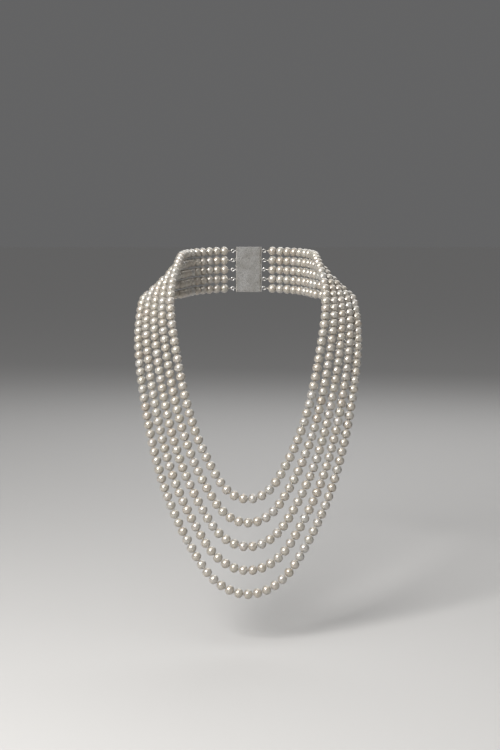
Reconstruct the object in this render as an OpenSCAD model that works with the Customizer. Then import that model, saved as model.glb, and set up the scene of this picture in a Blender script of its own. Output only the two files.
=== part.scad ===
// Five-strand pearl necklace with a five-row box clasp, hanging closed around a neck.
// Millimetres. The origin is the middle of the clasp's inner face at the nape:
// +X is the wearer's left, -Y is the front, +Z is up.

/* [Pearls] */
// Width of a pearl across its thread
pearl_w = 7.0; // [6.6:0.1:7.0]
// Length of a pearl along its thread
pearl_l = 6.4; // [6.0:0.1:6.4]
// Spacing from one pearl to the next along the thread
pitch = 6.8; // [6.8:0.1:7.0]
// Diameter of the drilled hole
bore_d = 0.9; // [0.8:0.1:1.0]

/* [Thread] */
// Diameter of the silk thread
thread_d = 0.6; // [0.4:0.1:0.6]
// Number of flats around the thread
thread_sides = 6; // [4:1:6]
// Space left in the thread on each side of a bending place
thread_rest = 0.12; // [0.1:0.01:0.15]

/* [Neck line] */
// Radius of the pearls' path around the neck
neck_r = 52; // [50:1:54]
// Spacing of the five rows at the clasp
row = 7.5; // [7.4:0.1:7.6]
// Drop of the rows from the nape to the side of the neck, at a right angle
nape_fall = 3; // [2:0.5:4]
// Distance along the path from the clasp's edge to the first pearl
lead = 6.2; // [6.2:0.1:6.4]

/* [Hang] */
// Number of steps drawn between two guide points of the path
steps = 16; // [12:4:24]
// Pearls on each side between the clasp and the shoulder bend
back_pearls = 8; // [8:1:8]
// Height of the bend at the collar bones
collar_z = -70; // [-76:2:-64]
// Share of the hang below the collar at which the lowest curve starts
drop_share = 0.6; // [0.5:0.05:0.65]

/* [Clasp] */
// Length of the box along the strands
box_w = 20; // [18:1:20]
// Height of the box across the rows
box_h = 36; // [36:1:40]
// Depth of the box, front to back
box_d = 5; // [4.8:0.1:5.4]
// Thickness of the box sheet
box_t = 0.7; // [0.6:0.1:0.8]
// Length of the tongue inside the box
tongue_l = 4.4; // [4:0.1:4.6]
// Half the height of the tongue
tongue_z = 13; // [10:0.5:14]
// Radius of a strand ring, middle of its wire
ring_r = 1.2; // [1.15:0.05:1.25]
// Radius of the ring wire
ring_wire = 0.3; // [0.25:0.05:0.3]
// Radius of the coiled wire loop that guards the thread, middle of its wire
guard_r = 0.8; // [0.8:0.05:0.85]
// Radius of the coiled wire
guard_wire = 0.25; // [0.2:0.05:0.25]
// Radius of the end knots
knot_r = 0.42; // [0.35:0.01:0.42]

/* [View] */
// Which sub-part to draw

/* [Hidden] */
$fn = 48;
STRANDS = ["inner", "second", "middle", "fourth", "outer"];

clasp_x = box_w / 2 + 0.2;
neck_y = 2.6 - sqrt(neck_r * neck_r - clasp_x * clasp_x);
first_a = asin(clasp_x / neck_r);
bend_a = 78.5;
bar_x = box_w / 2 + 0.1;
bar_t = 0.8;
ring_y = 1.85;
corner_r = 1;
notch_w = 2.6;
notch_h = 8;
panel_rim = 2;
panel_sunk = 0.25;
bar_gap = 0.3;
bar_end_gap = 0.2;
leaf_t = 0.45;
leaf_y = 1.1;
spring_inset = 1;
tab_h = 6;
knot_gap = 0.1;
ring_x = box_w / 2 + 2.6;
guard_x = ring_x + ring_r + 0.2;

// Pearls' path around the neck at an angle from the nape, for a row of height h
function neck_at(a, h) =
  [neck_r * sin(a), neck_y + neck_r * cos(a), h - nape_fall * (1 - cos(a))];
function neck_arc(h) = [for (i = [0 : 4]) neck_at(first_a + (bend_a - first_a) * i / 4, h)];

// Guide points on one side: neck, shoulder, collar, chest, and the lowest point on the middle line
inner_path = concat(neck_arc(2 * row), [
  [51.5, -46, 12], [52.5, -55, 9.5], [54, -66, 5], [56, -78, -2.5], [57.2, -89, -10.5],
  [57.4, -100, -20], [56, -111, -34], [51, -125, -61], [44.5, -136, -90], [34.8, -146, -118],
  [21.5, -153, -143], [11.5, -156, -154], [0, -157, -157.3]]);
outer_path = concat(neck_arc(-2 * row), [
  [57, -46, -18], [66, -53, -17.5], [74.5, -60, -16.5], [79, -69.5, -19.5], [80.5, -80.5, -27.5],
  [81.3, -91.5, -39.5], [80.5, -105, -57], [76, -121, -88], [67.5, -136, -127], [54.5, -149, -165],
  [33, -160, -204], [17, -163.5, -219.3], [0, -164.5, -224.3]]);
function path_of(k) = [for (i = [0 : len(inner_path) - 1])
  inner_path[i] + (outer_path[i] - inner_path[i]) * k / 4];

function mirrored(p) = [-p.x, p.y, p.z];
function unit(v) = v / norm(v);
function between(a, b, c, d, t) =
  (2 * b + (c - a) * t + (2 * a - 5 * b + 4 * c - d) * t * t
   + (3 * b - a - 3 * c + d) * t * t * t) / 2;

// Smooth curve through the guide points, from the clasp to the middle line
function curve(p) = let (
    n = len(p),
    q = concat([2 * p[0] - p[1]], p, [mirrored(p[n - 2])]))
  concat(
    [for (i = [1 : n - 1]) for (j = [0 : steps - 1])
      between(q[i - 1], q[i], q[i + 1], q[i + 2], j / steps)],
    [p[n - 1]]);

// Distance along the curve paired with each of its points
function measured(c) =
  [for (i = 0, s = 0; i < len(c); s = s + (i + 1 < len(c) ? norm(c[i + 1] - c[i]) : 0), i = i + 1)
    [s, c[i]]];
function at(m, s) = [for (a = [0 : 2]) lookup(s, [for (e = m) [e[0], e[1][a]]])];

// Gap places between pearls, from the clasp on the +X side round to the clasp on the -X side
function gaps(k) = let (
    m = measured(curve(path_of(k))),
    whole = m[len(m) - 1][0],
    start = lead + back_pearls * pitch,
    odd = (k == 1 || k == 4) ? 0.5 : 0,
    n = round((whole - start) / pitch - odd),
    p = (whole - start) / (n + odd),
    side = concat(
      [for (i = [0 : back_pearls - 1]) at(m, lead + i * pitch)],
      [for (i = [0 : n]) at(m, min(start + i * p, whole))]),
    last = len(side) - 1)
  concat(side, [for (i = [odd == 0 ? last - 1 : last : -1 : 0]) mirrored(side[i])]);

all_gaps = [for (k = [0 : 4]) gaps(k)];

// Index of the gap nearest a given height on the front of a strand
function below(g, z) = [for (i = [back_pearls + 4 : floor(len(g) / 2)]) if (g[i].z < z) i][0];
collar = [for (k = [0 : 4]) below(all_gaps[k], collar_z)];
drop = [for (k = [0 : 4]) let (g = all_gaps[k], low = g[floor(len(g) / 2)].z)
  below(g, collar_z + (low - collar_z) * drop_share)];
last = [for (k = [0 : 4]) len(all_gaps[k]) - 1];

// One drilled pearl, slightly flattened along its thread
module pearl() {
  rotate_extrude()
    intersection() {
      translate([(pearl_w - pearl_l) / 2, 0])
        circle(d = pearl_l);
      translate([bore_d / 2, -pearl_l])
        square([pearl_w, 2 * pearl_l]);
    }
}

// A pearl threaded between two gap places
module pearl_between(a, b) {
  d = unit(b - a);
  translate((a + b) / 2)
    rotate([0, acos(d.z), atan2(d.y, d.x)])
      pearl();
}

module pearls(k, from, to) {
  g = all_gaps[k];
  color([0.93, 0.90, 0.84])
    for (i = [from : to - 1])
      pearl_between(g[i], g[i + 1]);
}

// Direction of the thread at each gap place, and a side direction carried along it
function heading(p, i) = unit(p[min(i + 1, len(p) - 1)] - p[max(i - 1, 0)]);
function level(u, t) = unit(u - t * (u * t));
function sideways(p) =
  [for (i = 0, u = level([0.1, 0.2, 1], heading(p, 0)); i < len(p);
      i = i + 1, u = i < len(p) ? level(u, heading(p, i)) : u) u];

// The thread through a run of gap places, stopping short of both ends by its rest
module thread(k, from, to, rest_a, rest_b) {
  g = all_gaps[k];
  a = g[from] + unit(g[from + 1] - g[from]) * rest_a;
  b = g[to] + unit(g[to - 1] - g[to]) * rest_b;
  p = concat([a], [for (i = [from + 1 : to - 1]) g[i]], [b]);
  u = sideways(p);
  n = thread_sides;
  m = len(p);
  points = [for (i = [0 : m - 1]) let (t = heading(p, i), w = cross(t, u[i]))
    for (j = [0 : n - 1])
      p[i] + (u[i] * cos(360 * j / n) + w * sin(360 * j / n)) * thread_d / 2];
  sides = [for (i = [0 : m - 2]) for (j = [0 : n - 1]) let (
      c = i * n + j, d = i * n + (j + 1) % n)
    each [[c, c + n, d], [d, c + n, d + n]]];
  color([0.92, 0.89, 0.83])
    polyhedron(points = points, faces = concat(
      sides, [[for (j = [0 : n - 1]) j]], [[for (j = [n - 1 : -1 : 0]) (m - 1) * n + j]]));
}

// The part of a strand that lies on both shoulders
module shoulder_pearls(k) {
  pearls(k, back_pearls, collar[k]);
  pearls(k, last[k] - collar[k], last[k]);
}

module shoulder_thread(k) {
  thread(k, back_pearls, collar[k], thread_rest, thread_rest);
  thread(k, last[k] - collar[k], last[k], thread_rest, 0);
}

// The two columns of a strand on the chest
module chest_pearls(k) {
  pearls(k, collar[k], drop[k]);
  pearls(k, last[k] - drop[k], last[k] - collar[k]);
}

module chest_thread(k) {
  thread(k, collar[k], drop[k], thread_rest, thread_rest);
  thread(k, last[k] - drop[k], last[k] - collar[k], thread_rest, thread_rest);
}

// The lowest curve of a strand
module drop_pearls(k) {
  pearls(k, drop[k], last[k] - drop[k]);
}

module drop_thread(k) {
  thread(k, drop[k], last[k] - drop[k], thread_rest, thread_rest);
}

// Five short runs on the opening side: next to the shoulder, then next to the clasp
module shoulder_side_pearls() {
  for (k = [0 : 4])
    pearls(k, back_pearls / 2, back_pearls);
}

module shoulder_side_threads() {
  for (k = [0 : 4])
    thread(k, back_pearls / 2, back_pearls, thread_rest, thread_rest);
}

module clasp_side_pearls() {
  for (k = [0 : 4])
    pearls(k, 0, back_pearls / 2);
}

module clasp_side_threads() {
  for (k = [0 : 4])
    thread(k, 0, back_pearls / 2, 0, thread_rest);
}

// Rectangle with round corners, made of squares and circles
module round_rect(w, d, r) {
  translate([-w / 2 + r, -d / 2])
    square([w - 2 * r, d]);
  translate([-w / 2, -d / 2 + r])
    square([w, d - 2 * r]);
  for (x = [-1, 1])
    for (y = [-1, 1])
      translate([x * (w / 2 - r), y * (d / 2 - r)])
        circle(r);
}

// Box half of the clasp: a shallow hollow case, open towards the tongue, with a thumb notch
module box_shell() {
  color([0.75, 0.75, 0.77])
    difference() {
      translate([0, box_d / 2, -box_h / 2])
        linear_extrude(box_h)
          round_rect(box_w, box_d, corner_r);
      translate([-box_w / 2 + box_t, box_t, -box_h / 2 + box_t])
        cube([box_w, box_d - 2 * box_t, box_h - 2 * box_t]);
      translate([box_w / 2 - notch_w, box_d - 2 * box_t, -notch_h / 2])
        cube([notch_w + 1.4, 4, notch_h]);
      translate([-box_w / 2 + panel_rim, box_d - panel_sunk, -box_h / 2 + panel_rim])
        cube([box_w - 3 * panel_rim, 1, box_h - 2 * panel_rim]);
    }
}

// A soldered strand ring lying flat, with its peg towards the clasp
module strand_ring(side, z, x_end) {
  color([0.75, 0.75, 0.77])
    translate([0, ring_y, z]) {
      translate([side * ring_x, 0, 0])
        rotate([90, 0, 0])
          rotate_extrude()
            translate([ring_r, 0])
              circle(ring_wire);
      translate([side * x_end, 0, 0])
        rotate([0, side * 90, 0])
          cylinder(h = ring_x - ring_r - x_end, r = ring_wire);
    }
}

// Height of a row where its ring sits
function row_z(k) = (2 - k) * row - nape_fall * (1 - cos(asin(ring_x / neck_r)));

module box_rings() {
  for (k = [0 : 4])
    strand_ring(-1, row_z(k), box_w / 2);
}

module tongue_rings() {
  for (k = [0 : 4])
    strand_ring(1, row_z(k), bar_x + bar_t);
}

// Coiled wire loops linked through the rings
module guards(side) {
  color([0.80, 0.79, 0.76])
    for (k = [0 : 4])
      translate([side * guard_x, ring_y, row_z(k)])
        rotate_extrude()
          translate([guard_r, 0])
            circle(guard_wire);
}

module box_guards() {
  guards(-1);
}

module tongue_guards() {
  guards(1);
}

// Knots that finish each thread next to its guard loop
module knots(side) {
  color([0.92, 0.89, 0.83])
    for (k = [0 : 4]) {
      g = all_gaps[k];
      p = g[0] - unit(g[1] - g[0]) * (knot_r + knot_gap);
      translate([side * p.x, p.y, p.z])
        sphere(knot_r);
    }
}

module box_knots() {
  knots(-1);
}

module tongue_knots() {
  knots(1);
}

// Bar that closes the mouth of the box and carries the strand rings
module tongue_bar() {
  color([0.75, 0.75, 0.77])
    translate([bar_x, bar_gap, -box_h / 2 + bar_end_gap])
      cube([bar_t, box_d - 2 * bar_gap, box_h - 2 * bar_end_gap]);
}

// Lower leaf of the tongue
module tongue_leaf() {
  color([0.78, 0.78, 0.80])
    translate([bar_x - tongue_l, leaf_y, -tongue_z])
      cube([tongue_l, leaf_t, 2 * tongue_z]);
}

// Upper spring leaf of the tongue, folded at the tip and ending in the thumb tab
module spring_leaf() {
  color([0.78, 0.78, 0.80]) {
    translate([bar_x - tongue_l, 0, -tongue_z + spring_inset])
      linear_extrude(2 * (tongue_z - spring_inset))
        polygon([[0.05, 1.65], [0.5, 1.65], [3.7, 2.85], [3.7, 3.3], [3.3, 3.3], [0.05, 2.1]]);
    translate([bar_x - tongue_l, 0, -tab_h / 2])
      linear_extrude(tab_h)
        polygon([[3.25, 3.2], [3.7, 3.2], [3.7, 5.75], [2.4, 5.75], [2.4, 5.3], [3.25, 5.3]]);
  }
}

for (k = [0 : 4]) {
  shoulder_pearls(k);
  shoulder_thread(k);
  chest_pearls(k);
  chest_thread(k);
  drop_pearls(k);
  drop_thread(k);
}
shoulder_side_pearls();
shoulder_side_threads();
clasp_side_pearls();
clasp_side_threads();
box_shell();
box_rings();
box_guards();
box_knots();
tongue_bar();
tongue_leaf();
tongue_rings();
tongue_guards();
tongue_knots();
spring_leaf();
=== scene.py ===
import math
import random

import bmesh
import bpy
from mathutils import Matrix, Vector


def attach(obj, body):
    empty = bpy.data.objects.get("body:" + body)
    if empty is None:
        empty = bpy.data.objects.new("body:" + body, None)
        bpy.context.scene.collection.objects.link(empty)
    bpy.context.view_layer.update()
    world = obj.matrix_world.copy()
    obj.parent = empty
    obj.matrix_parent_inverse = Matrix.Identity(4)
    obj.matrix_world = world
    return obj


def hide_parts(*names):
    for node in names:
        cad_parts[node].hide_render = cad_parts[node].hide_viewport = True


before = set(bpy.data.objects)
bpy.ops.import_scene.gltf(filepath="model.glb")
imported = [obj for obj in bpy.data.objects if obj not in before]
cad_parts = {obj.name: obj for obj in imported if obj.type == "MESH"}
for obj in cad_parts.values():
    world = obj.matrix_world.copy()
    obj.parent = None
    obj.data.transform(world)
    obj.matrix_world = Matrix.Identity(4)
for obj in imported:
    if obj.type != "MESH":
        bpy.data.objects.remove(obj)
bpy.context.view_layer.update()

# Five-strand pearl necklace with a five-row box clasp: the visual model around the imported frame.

MM = 0.001
rng = random.Random(535)

# ---------------------------------------------------------------- dimensions, as in part.scad (mm)
PEARL_W, PEARL_L, PITCH, BORE = 7.0, 6.4, 6.8, 0.9
THREAD_R, THREAD_REST = 0.3, 0.12
NECK_R, ROW, FALL, LEAD, BACK = 52.0, 7.5, 3.0, 6.2, 8
STEPS = 16
BOX_W = 20.0
RING_Y, RING_X, RING_R = 1.85, BOX_W / 2 + 2.6, 1.2
GUARD_X, GUARD_R, GUARD_WIRE = RING_X + RING_R + 0.2, 0.8, 0.25
KNOT_R, KNOT_GAP = 0.42, 0.1
STRANDS = ["inner", "second", "middle", "fourth", "outer"]
COLLAR_Z, DROP_SHARE = -70.0, 0.6

CLASP_X = BOX_W / 2 + 0.2
NECK_Y = 2.6 - math.sqrt(NECK_R ** 2 - CLASP_X ** 2)
FIRST_A = math.degrees(math.asin(CLASP_X / NECK_R))
BEND_A = 78.5


def neck_at(a, h):
    a = math.radians(a)
    return Vector((NECK_R * math.sin(a), NECK_Y + NECK_R * math.cos(a), h - FALL * (1 - math.cos(a))))


def neck_arc(h):
    return [neck_at(FIRST_A + (BEND_A - FIRST_A) * i / 4, h) for i in range(5)]


INNER = neck_arc(2 * ROW) + [Vector(p) for p in (
    (51.5, -46, 12), (52.5, -55, 9.5), (54, -66, 5), (56, -78, -2.5), (57.2, -89, -10.5),
    (57.4, -100, -20), (56, -111, -34), (51, -125, -61), (44.5, -136, -90), (34.8, -146, -118),
    (21.5, -153, -143), (11.5, -156, -154), (0, -157, -157.3))]
OUTER = neck_arc(-2 * ROW) + [Vector(p) for p in (
    (57, -46, -18), (66, -53, -17.5), (74.5, -60, -16.5), (79, -69.5, -19.5), (80.5, -80.5, -27.5),
    (81.3, -91.5, -39.5), (80.5, -105, -57), (76, -121, -88), (67.5, -136, -127), (54.5, -149, -165),
    (33, -160, -204), (17, -163.5, -219.3), (0, -164.5, -224.3))]


def mirrored(p):
    return Vector((-p.x, p.y, p.z))


def smooth_curve(p):
    q = [2 * p[0] - p[1]] + p + [mirrored(p[-2])]
    out = []
    for i in range(1, len(p)):
        a, b, c, d = q[i - 1:i + 3]
        for j in range(STEPS):
            t = j / STEPS
            out.append((2 * b + (c - a) * t + (2 * a - 5 * b + 4 * c - d) * t * t
                        + (3 * b - a - 3 * c + d) * t ** 3) / 2)
    return out + [p[-1]]


def gap_places(k):
    """Places between pearls of strand k, from the clasp on the +X side to the clasp on the -X side."""
    c = smooth_curve([a + (b - a) * k / 4 for a, b in zip(INNER, OUTER)])
    run = [0.0]
    for a, b in zip(c, c[1:]):
        run.append(run[-1] + (b - a).length)

    def at(s):
        s = min(max(s, 0.0), run[-1])
        i = next((n for n in range(1, len(run)) if run[n] >= s), len(run) - 1)
        f = (s - run[i - 1]) / (run[i] - run[i - 1])
        return c[i - 1].lerp(c[i], f)

    start = LEAD + BACK * PITCH
    odd = 0.5 if k in (1, 4) else 0.0
    n = round((run[-1] - start) / PITCH - odd)
    p = (run[-1] - start) / (n + odd)
    side = [at(LEAD + i * PITCH) for i in range(BACK)] + [at(start + i * p) for i in range(n + 1)]
    back = side[:-1] if odd == 0 else side
    return side + [mirrored(v) for v in reversed(back)]


GAPS = [gap_places(k) for k in range(5)]


def below(g, z):
    return next(i for i in range(BACK + 4, len(g) // 2 + 1) if g[i].z < z)


COLLAR = [below(g, COLLAR_Z) for g in GAPS]
DROP = [below(g, COLLAR_Z + (g[len(g) // 2].z - COLLAR_Z) * DROP_SHARE) for g in GAPS]
LAST = [len(g) - 1 for g in GAPS]


# ---------------------------------------------------------------- materials
def material(name):
    m = bpy.data.materials.new(name)
    m.use_nodes = True
    m.node_tree.nodes.clear()
    return m, m.node_tree.nodes, m.node_tree.links


def node(nodes, kind, **values):
    n = nodes.new(kind)
    for key, value in values.items():
        if key.startswith("in_"):
            n.inputs[key[3:].replace("_", " ")].default_value = value
        else:
            setattr(n, key, value)
    return n


def ramp(nodes, stops):
    n = nodes.new("ShaderNodeValToRGB")
    e = n.color_ramp.elements
    while len(e) < len(stops):
        e.new(0.5)
    for s, (pos, col) in zip(e, stops):
        s.position, s.color = pos, (*col, 1.0) if len(col) == 3 else col
    return n


def pearl_material():
    m, nodes, links = material("ivory pearl nacre")
    out = node(nodes, "ShaderNodeOutputMaterial")
    bsdf = node(nodes, "ShaderNodeBsdfPrincipled", in_IOR=1.65, in_Metallic=0.48)
    bsdf.inputs["Subsurface Weight"].default_value = 0.10
    bsdf.inputs["Subsurface Radius"].default_value = (0.9, 0.6, 0.4)
    bsdf.inputs["Subsurface Scale"].default_value = 0.0009
    bsdf.inputs["Coat Weight"].default_value = 0.65
    bsdf.inputs["Coat Roughness"].default_value = 0.18
    bsdf.inputs["Coat IOR"].default_value = 1.6
    bsdf.inputs["Sheen Weight"].default_value = 0.10
    bsdf.inputs["Sheen Roughness"].default_value = 0.45
    bsdf.inputs["Sheen Tint"].default_value = (1.0, 0.93, 0.86, 1.0)
    tone = node(nodes, "ShaderNodeAttribute", attribute_name="pearl_tone_and_hole_shade")
    coords = node(nodes, "ShaderNodeTexCoord")
    split = node(nodes, "ShaderNodeSeparateColor")
    links.new(tone.outputs["Color"], split.inputs["Color"])
    # each pearl's own body colour, from silver white through ivory to warm cream
    body = ramp(nodes, [(0.0, (0.44, 0.42, 0.39)), (0.45, (0.44, 0.405, 0.35)),
                        (0.8, (0.42, 0.375, 0.315)), (1.0, (0.39, 0.34, 0.28))])
    links.new(split.outputs["Red"], body.inputs["Fac"])
    # faint overtones, rose on some pearls and green on others
    over = ramp(nodes, [(0.0, (0.42, 0.445, 0.40)), (0.5, (0.44, 0.415, 0.38)), (1.0, (0.465, 0.395, 0.37))])
    links.new(split.outputs["Green"], over.inputs["Fac"])
    cloud = node(nodes, "ShaderNodeTexNoise", in_Scale=260.0, in_Detail=3.0, in_Roughness=0.55)
    links.new(coords.outputs["Object"], cloud.inputs["Vector"])
    much = node(nodes, "ShaderNodeMapRange")
    much.inputs["From Min"].default_value = 0.35
    much.inputs["From Max"].default_value = 0.75
    much.inputs["To Max"].default_value = 0.45
    links.new(cloud.outputs["Fac"], much.inputs["Value"])
    mix = node(nodes, "ShaderNodeMix", data_type="RGBA")
    links.new(much.outputs["Result"], mix.inputs["Factor"])
    links.new(body.outputs["Color"], mix.inputs["A"])
    links.new(over.outputs["Color"], mix.inputs["B"])
    # darker, browner colour towards the drill holes, deepest inside the bore: painted shade in the hole and
    # in the narrow gap between neighbouring pearls
    hole = ramp(nodes, [(0.0, (0.62, 0.50, 0.37)), (1.0, (1.0, 1.0, 1.0))])
    links.new(split.outputs["Blue"], hole.inputs["Fac"])
    tint = node(nodes, "ShaderNodeMix", data_type="RGBA", blend_type="MULTIPLY")
    tint.inputs["Factor"].default_value = 1.0
    links.new(mix.outputs["Result"], tint.inputs["A"])
    links.new(hole.outputs["Color"], tint.inputs["B"])
    links.new(tint.outputs["Result"], bsdf.inputs["Base Color"])
    # lustre varies over the skin
    gloss = node(nodes, "ShaderNodeTexNoise", in_Scale=700.0, in_Detail=2.0)
    links.new(coords.outputs["Object"], gloss.inputs["Vector"])
    rough = node(nodes, "ShaderNodeMapRange")
    rough.inputs["From Min"].default_value = 0.3
    rough.inputs["From Max"].default_value = 0.7
    rough.inputs["To Min"].default_value = 0.27
    rough.inputs["To Max"].default_value = 0.38
    links.new(gloss.outputs["Fac"], rough.inputs["Value"])
    links.new(rough.outputs["Result"], bsdf.inputs["Roughness"])
    # shallow growth relief of the nacre
    skin = node(nodes, "ShaderNodeTexNoise", in_Scale=420.0, in_Detail=2.0, in_Roughness=0.5)
    links.new(coords.outputs["Object"], skin.inputs["Vector"])
    bump = node(nodes, "ShaderNodeBump", in_Strength=0.02, in_Distance=0.00003)
    links.new(skin.outputs["Fac"], bump.inputs["Height"])
    links.new(bump.outputs["Normal"], bsdf.inputs["Normal"])
    links.new(bsdf.outputs["BSDF"], out.inputs["Surface"])
    return m


def silk_material():
    m, nodes, links = material("twisted silk thread")
    out = node(nodes, "ShaderNodeOutputMaterial")
    bsdf = node(nodes, "ShaderNodeBsdfPrincipled", in_IOR=1.45, in_Roughness=0.62)
    bsdf.inputs["Sheen Weight"].default_value = 0.5
    bsdf.inputs["Sheen Roughness"].default_value = 0.4
    coords = node(nodes, "ShaderNodeTexCoord")
    fibre = node(nodes, "ShaderNodeTexNoise", in_Scale=5200.0, in_Detail=4.0, in_Roughness=0.65)
    links.new(coords.outputs["Object"], fibre.inputs["Vector"])
    col = ramp(nodes, [(0.25, (0.66, 0.60, 0.50)), (0.75, (0.88, 0.83, 0.74))])
    links.new(fibre.outputs["Fac"], col.inputs["Fac"])
    links.new(col.outputs["Color"], bsdf.inputs["Base Color"])
    bump = node(nodes, "ShaderNodeBump", in_Strength=0.5, in_Distance=0.00003)
    links.new(fibre.outputs["Fac"], bump.inputs["Height"])
    links.new(bump.outputs["Normal"], bsdf.inputs["Normal"])
    links.new(bsdf.outputs["BSDF"], out.inputs["Surface"])
    return m


def silver_material(name, light, dark, rough_low, rough_high, grain):
    """Worn silver: brushed by noise stretched along the axis of least grain, and tarnished in patches."""
    m, nodes, links = material(name)
    out = node(nodes, "ShaderNodeOutputMaterial")
    bsdf = node(nodes, "ShaderNodeBsdfPrincipled", in_Metallic=1.0)
    coords = node(nodes, "ShaderNodeTexCoord")
    stretch = node(nodes, "ShaderNodeMapping")
    stretch.inputs["Scale"].default_value = grain
    links.new(coords.outputs["Object"], stretch.inputs["Vector"])
    brush = node(nodes, "ShaderNodeTexNoise", in_Scale=1.0, in_Detail=5.0, in_Roughness=0.7)
    links.new(stretch.outputs["Vector"], brush.inputs["Vector"])
    patch = node(nodes, "ShaderNodeTexNoise", in_Scale=130.0, in_Detail=4.0, in_Roughness=0.6)
    links.new(coords.outputs["Object"], patch.inputs["Vector"])
    col = ramp(nodes, [(0.3, dark), (0.62, light)])
    links.new(patch.outputs["Fac"], col.inputs["Fac"])
    links.new(col.outputs["Color"], bsdf.inputs["Base Color"])
    rough = node(nodes, "ShaderNodeMapRange")
    rough.inputs["From Min"].default_value = 0.25
    rough.inputs["From Max"].default_value = 0.75
    rough.inputs["To Min"].default_value = rough_low
    rough.inputs["To Max"].default_value = rough_high
    links.new(brush.outputs["Fac"], rough.inputs["Value"])
    links.new(rough.outputs["Result"], bsdf.inputs["Roughness"])
    bump = node(nodes, "ShaderNodeBump", in_Strength=0.22, in_Distance=0.00004)
    links.new(brush.outputs["Fac"], bump.inputs["Height"])
    links.new(bump.outputs["Normal"], bsdf.inputs["Normal"])
    links.new(bsdf.outputs["BSDF"], out.inputs["Surface"])
    return m


PEARL = pearl_material()
SILK = silk_material()
CLASP_SILVER = silver_material("satin clasp silver", (0.80, 0.79, 0.77), (0.56, 0.54, 0.50),
                               0.20, 0.40, (9000.0, 9000.0, 500.0))
SPRING_SILVER = silver_material("rolled spring silver", (0.74, 0.73, 0.71), (0.52, 0.50, 0.47),
                                0.24, 0.44, (600.0, 9000.0, 9000.0))
WIRE_SILVER = silver_material("fine coiled wire", (0.82, 0.80, 0.76), (0.60, 0.57, 0.52),
                              0.18, 0.34, (3000.0, 3000.0, 3000.0))


# ---------------------------------------------------------------- mesh helpers
def add_object(name, verts, faces, mat, body, cad_nodes, tones_and_hole_shade=None):
    mesh = bpy.data.meshes.new(name)
    mesh.from_pydata([tuple(v) for v in verts], [], faces)
    mesh.polygons.foreach_set("use_smooth", [True] * len(mesh.polygons))
    if tones_and_hole_shade is not None:
        layer = mesh.attributes.new("pearl_tone_and_hole_shade", "FLOAT_COLOR", "POINT")
        layer.data.foreach_set("color", [c for t in tones_and_hole_shade for c in t])
    mesh.materials.append(mat)
    mesh.update()
    obj = bpy.data.objects.new(name, mesh)
    bpy.context.scene.collection.objects.link(obj)
    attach(obj, body)
    if cad_nodes:
        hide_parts(*cad_nodes)
    return obj


AROUND, ALONG = 32, 22
DENT = 0.009
HOLE_LIP = 0.16


def pearl_template(seed):
    """One drilled pearl along Z in mm, closed through its hole: (points, faces, skin share per point)."""
    r = random.Random(seed)
    waves = [(r.uniform(0.4, 1.0), r.randrange(1, 4), r.uniform(0, 6.28),
              r.uniform(0.6, 2.2), r.uniform(0, 6.28)) for _ in range(4)]
    radius, off = PEARL_L / 2, (PEARL_W - PEARL_L) / 2
    low = math.acos((BORE / 2 + HOLE_LIP - off) / radius)
    profile = [(off + radius * math.cos(low * (1 - 2 * i / (ALONG - 1))),
                radius * math.sin(low * (1 - 2 * i / (ALONG - 1)))) for i in range(ALONG)]
    top = profile[0][1]
    # softened edge of the drill hole, then the hole itself
    # the middle number of each rim row is its skin share, which darkens the colour inside the bore as
    # painted shade
    rim = [(BORE / 2, 0.0, top - 0.9), (BORE / 2, 0.05, top - 0.22), (BORE / 2 + 0.05, 0.25, top - 0.04)]
    rows = [(x, z, s) for x, s, z in rim]
    # the two rows at each lip get a lower skin share, darkened as painted shade between neighbouring pearls
    for i, (x, z) in enumerate(profile):
        edge = min(i, ALONG - 1 - i)
        rows.append((x, z, 0.55 if edge == 0 else 0.85 if edge == 1 else 1.0))
    rows += [(x, -z, s) for x, s, z in reversed(rim)]
    verts, skin = [], []
    for x, z, s in rows:
        for j in range(AROUND):
            a = 2 * math.pi * j / AROUND
            dent = 0.0
            if s > 0.5:
                dent = sum(w * math.sin(n * a + p) * math.cos(q * z / radius + h) for w, n, p, q, h in waves)
                dent = -DENT * (2.0 + dent) * min(1.0, x / 1.5)
            verts.append(((x + dent) * math.cos(a), (x + dent) * math.sin(a), z))
            skin.append(s)
    faces = []
    count = len(rows)
    for i in range(count):
        n = (i + 1) % count
        for j in range(AROUND):
            k = (j + 1) % AROUND
            faces.append((i * AROUND + j, n * AROUND + j, n * AROUND + k, i * AROUND + k))
    return verts, faces, skin


TEMPLATES = [pearl_template(900 + i) for i in range(10)]


def pearls_object(name, runs, body):
    """All pearls of one CAD node: runs is [(strand, first gap, last gap)]."""
    verts, faces, tones_and_hole_shade = [], [], []
    for k, first, last in runs:
        for i in range(first, last):
            a, b = GAPS[k][i], GAPS[k][i + 1]
            points, polys, skin = rng.choice(TEMPLATES)
            turn = (b - a).to_track_quat("Z", "Y").to_matrix()
            if rng.random() < 0.5:
                turn = turn @ Matrix.Rotation(math.pi, 3, "X")
            turn = turn @ Matrix.Rotation(rng.uniform(0, 2 * math.pi), 3, "Z")
            wide = rng.uniform(0.988, 1.004)
            size = Matrix.Diagonal((wide, wide * rng.uniform(0.993, 1.0), rng.uniform(0.992, 1.006)))
            move = turn @ size
            middle = (a + b) / 2
            tone = min(1.0, max(0.0, rng.gauss(0.42, 0.20)))
            over = min(1.0, max(0.0, rng.gauss(0.5, 0.22)))
            base = len(verts)
            verts += [(move @ Vector(p) + middle) * MM for p in points]
            faces += [tuple(base + v for v in f) for f in polys]
            # the blue channel carries the skin share, which the material turns into painted shade round the
            # holes
            tones_and_hole_shade += [(tone, over, s, 1.0) for s in skin]
    return add_object(name, verts, faces, PEARL, body, [name], tones_and_hole_shade)


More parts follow.
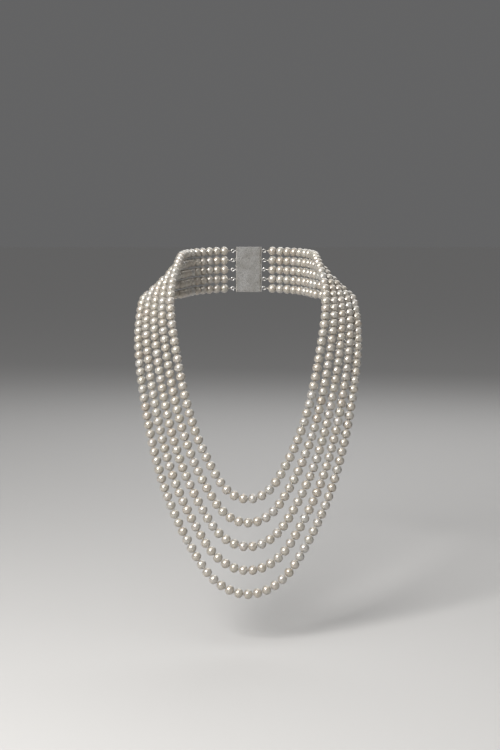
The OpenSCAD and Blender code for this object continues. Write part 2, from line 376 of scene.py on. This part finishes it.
def carried_frames(p):
    """Tangent and side direction at each point of a polyline, carried along without twist."""
    out = []
    u = Vector((0.1, 0.2, 1.0))
    for i in range(len(p)):
        t = (p[min(i + 1, len(p) - 1)] - p[max(i - 1, 0)]).normalized()
        u = (u - t * u.dot(t)).normalized()
        out.append((t, u, t.cross(u)))
    return out


THREAD_AROUND = 12
RING_PLACES = (0.1, 0.2, 0.32, 0.45, 0.6, 2.2)
PLY_LENGTH = 1.6


def thread_tube(points, verts, faces):
    """A twisted two-ply thread through gap places: finely ringed where it shows, plain inside the pearls."""
    path = []
    for i, p in enumerate(points):
        before = (points[i - 1] - p).normalized() if i else None
        after = (points[i + 1] - p).normalized() if i + 1 < len(points) else None
        if before is not None:
            for d in reversed(RING_PLACES):
                path.append(p + before * d)
        path.append(p)
        if after is not None:
            for d in RING_PLACES:
                path.append(p + after * d)
    run = 0.0
    base = len(verts)
    frames = carried_frames(path)
    for i, (p, (t, u, w)) in enumerate(zip(path, frames)):
        if i:
            run += (p - path[i - 1]).length
        for j in range(THREAD_AROUND):
            a = 2 * math.pi * j / THREAD_AROUND
            ply = abs(math.cos(a - run * 2 * math.pi / PLY_LENGTH))
            r = THREAD_R * (0.80 + 0.19 * ply)
            verts.append((p + (u * math.cos(a) + w * math.sin(a)) * r) * MM)
    n = THREAD_AROUND
    for i in range(len(path) - 1):
        for j in range(n):
            a, b = base + i * n + j, base + i * n + (j + 1) % n
            faces.append((a, b, b + n, a + n))
    faces.append(tuple(base + j for j in reversed(range(n))))
    faces.append(tuple(base + (len(path) - 1) * n + j for j in range(n)))


def thread_object(name, runs, body):
    """runs is [(strand, first gap, last gap, rest at first, rest at last)]."""
    verts, faces = [], []
    for k, first, last, rest_a, rest_b in runs:
        g = GAPS[k][first:last + 1]
        first_end = g[0] + (g[1] - g[0]).normalized() * rest_a
        last_end = g[-1] + (g[-2] - g[-1]).normalized() * rest_b
        g = [first_end] + g[1:-1] + [last_end]
        thread_tube(g, verts, faces)
    return add_object(name, verts, faces, SILK, body, [name], None)


# ---------------------------------------------------------------- strands
R = THREAD_REST
ROOT = "back_and_shoulders"
for k, s in enumerate(STRANDS):
    c, d, n = COLLAR[k], DROP[k], LAST[k]
    pearls_object(s + "_shoulder_pearls", [(k, BACK, c), (k, n - c, n)], ROOT)
    thread_object(s + "_shoulder_thread", [(k, BACK, c, R, R), (k, n - c, n, R, 0)], ROOT)
    pearls_object(s + "_chest_pearls", [(k, c, d), (k, n - d, n - c)], s + "_chest")
    thread_object(s + "_chest_thread", [(k, c, d, R, R), (k, n - d, n - c, R, R)], s + "_chest")
    pearls_object(s + "_drop_pearls", [(k, d, n - d)], s + "_drop")
    thread_object(s + "_drop_thread", [(k, d, n - d, R, R)], s + "_drop")
HALF = BACK // 2
pearls_object("shoulder_side_pearls", [(k, HALF, BACK) for k in range(5)], "shoulder_side_run")
thread_object("shoulder_side_threads", [(k, HALF, BACK, R, R) for k in range(5)], "shoulder_side_run")
pearls_object("clasp_side_pearls", [(k, 0, HALF) for k in range(5)], "clasp_side_run")
thread_object("clasp_side_threads", [(k, 0, HALF, 0, R) for k in range(5)], "clasp_side_run")


# ---------------------------------------------------------------- guards and knots
def row_z(k):
    return (2 - k) * ROW - FALL * (1 - math.cos(math.asin(RING_X / NECK_R)))


def coil_loop(centre, verts, faces):
    """Fine wire wound tightly round a small loop that lies in the XY plane."""
    wire, wound, turns, per_turn, sides = 0.065, GUARD_WIRE - 0.065, 34, 14, 6
    count = turns * per_turn
    base = len(verts)
    for i in range(count):
        a = 2 * math.pi * i / count
        b = 2 * math.pi * i / per_turn
        out = Vector((math.cos(a), math.sin(a), 0.0))
        along = Vector((-math.sin(a), math.cos(a), 0.0))
        up = Vector((0.0, 0.0, 1.0))
        radial = out * math.cos(b) + up * math.sin(b)
        step = 2 * math.pi * GUARD_R / count
        winding = (up * math.cos(b) - out * math.sin(b)) * wound * 2 * math.pi / per_turn
        tangent = (along * step + winding).normalized()
        side = tangent.cross(radial).normalized()
        middle = centre + out * GUARD_R + radial * wound
        for j in range(sides):
            c = 2 * math.pi * j / sides
            verts.append((middle + (radial * math.cos(c) + side * math.sin(c)) * wire) * MM)
    for i in range(count):
        n = (i + 1) % count
        for j in range(sides):
            k = (j + 1) % sides
            faces.append((base + i * sides + j, base + i * sides + k,
                          base + n * sides + k, base + n * sides + j))


def guards_object(name, side, body):
    verts, faces = [], []
    for k in range(5):
        coil_loop(Vector((side * GUARD_X, RING_Y, row_z(k))), verts, faces)
    add_object(name, verts, faces, WIRE_SILVER, body, [name], None)


def knots_object(name, side, body):
    """Small tied knots: rounded lumps with the thread's winding standing proud round them."""
    verts, faces = [], []
    rings, around = 14, 20
    for k in range(5):
        g = GAPS[k]
        t = (g[1] - g[0]).normalized()
        p = g[0] - t * (KNOT_R + KNOT_GAP)
        if side < 0:
            p, t = mirrored(p), mirrored(t)
        turn = t.to_track_quat("Z", "Y").to_matrix()
        base = len(verts)
        for i in range(rings):
            e = math.pi * (i + 0.5) / rings
            for j in range(around):
                a = 2 * math.pi * j / around
                groove = 0.5 + 0.5 * math.cos(2 * a + 5.0 * e + k)
                r = KNOT_R * (0.84 + 0.15 * groove)
                lump = Vector((r * math.sin(e) * math.cos(a), r * math.sin(e) * math.sin(a),
                               -KNOT_R * 0.98 * math.cos(e)))
                verts.append((p + turn @ lump) * MM)
        for i in range(rings - 1):
            for j in range(around):
                n = (j + 1) % around
                faces.append((base + i * around + j, base + i * around + n,
                              base + (i + 1) * around + n, base + (i + 1) * around + j))
        faces.append(tuple(base + j for j in reversed(range(around))))
        faces.append(tuple(base + (rings - 1) * around + j for j in range(around)))
    add_object(name, verts, faces, SILK, body, [name], None)


guards_object("box_guards", -1, ROOT)
guards_object("tongue_guards", 1, "clasp_side_run")
knots_object("box_knots", -1, ROOT)
knots_object("tongue_knots", 1, "clasp_side_run")


# ---------------------------------------------------------------- clasp metal: softened CAD pieces
for name, mat, width in (("box_shell", CLASP_SILVER, 0.22), ("tongue_bar", CLASP_SILVER, 0.16),
                         ("tongue_leaf", CLASP_SILVER, 0.10), ("spring_leaf", SPRING_SILVER, 0.10),
                         ("box_rings", CLASP_SILVER, 0.0), ("tongue_rings", CLASP_SILVER, 0.0)):
    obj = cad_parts[name]
    if not obj.material_slots:
        obj.data.materials.append(mat)
    for s in obj.material_slots:
        s.material = mat
    if width:
        bevel = obj.modifiers.new("soft edges", "BEVEL")
        bevel.width = width * MM
        bevel.segments = 3
        bevel.limit_method = "ANGLE"
        bevel.angle_limit = math.radians(40)
        bevel.harden_normals = False


# ---------------------------------------------------------------- floor, light and camera
FLOOR_Z = -0.262
grid = bmesh.new()
bmesh.ops.create_grid(grid, x_segments=2, y_segments=2, size=14.0)
mesh = bpy.data.meshes.new("floor")
grid.to_mesh(mesh)
grid.free()
floor = bpy.data.objects.new("floor", mesh)
floor.location = (0.0, 0.0, FLOOR_Z)
bpy.context.scene.collection.objects.link(floor)
m, nodes, links = material("pale floor")
out = node(nodes, "ShaderNodeOutputMaterial")
bsdf = node(nodes, "ShaderNodeBsdfPrincipled", in_Roughness=0.85)
bsdf.inputs["Base Color"].default_value = (0.46, 0.455, 0.45, 1.0)
links.new(bsdf.outputs["BSDF"], out.inputs["Surface"])
mesh.materials.append(m)

world = bpy.data.worlds.new("studio")
bpy.context.scene.world = world
world.use_nodes = True
world.node_tree.nodes["Background"].inputs["Color"].default_value = (0.90, 0.90, 0.91, 1.0)
world.node_tree.nodes["Background"].inputs["Strength"].default_value = 0.14


def area_light(name, place, target, size, power, colour=(1.0, 1.0, 1.0)):
    data = bpy.data.lights.new(name, "AREA")
    data.shape = "RECTANGLE"
    data.size, data.size_y = size
    data.energy = power
    data.color = colour
    obj = bpy.data.objects.new(name, data)
    bpy.context.scene.collection.objects.link(obj)
    obj.location = place
    obj.rotation_euler = (Vector(target) - Vector(place)).to_track_quat("-Z", "Y").to_euler()
    return obj


CENTRE = (0.0, -0.11, -0.10)
area_light("key softbox", (-0.50, -0.85, 0.55), CENTRE, (0.42, 0.50), 18.0, (1.0, 0.985, 0.96))
area_light("overhead softbox", (0.05, -0.30, 0.90), CENTRE, (0.9, 0.7), 2.0, (1.0, 0.99, 0.97))
area_light("right strip", (0.85, -0.55, 0.05), CENTRE, (0.20, 0.5), 0.5, (0.97, 0.98, 1.0))
area_light("back light", (0.25, 0.95, 0.75), CENTRE, (1.2, 0.9), 7.0)

# even light over the whole floor, so that it meets the backdrop without a hard line
data = bpy.data.lights.new("even light", "SUN")
data.energy = 0.50
data.angle = math.radians(60.0)
even = bpy.data.objects.new("even light", data)
bpy.context.scene.collection.objects.link(even)
even.rotation_euler = (math.radians(28.0), math.radians(-22.0), 0.0)

TARGET = Vector((0.0014, -0.115, -0.073))
PITCH_DOWN, DISTANCE = math.radians(6.0), 1.1
camera_data = bpy.data.cameras.new("camera")
camera_data.sensor_width = 36.0
camera_data.lens = 72.2
camera_data.clip_start = 0.05
camera = bpy.data.objects.new("camera", camera_data)
bpy.context.scene.collection.objects.link(camera)
camera.location = TARGET - DISTANCE * Vector((0.0, math.cos(PITCH_DOWN), -math.sin(PITCH_DOWN)))
camera.rotation_euler = (math.radians(90.0) - PITCH_DOWN, 0.0, 0.0)
bpy.context.scene.camera = camera
bpy.context.scene.view_settings.view_transform = "Standard"
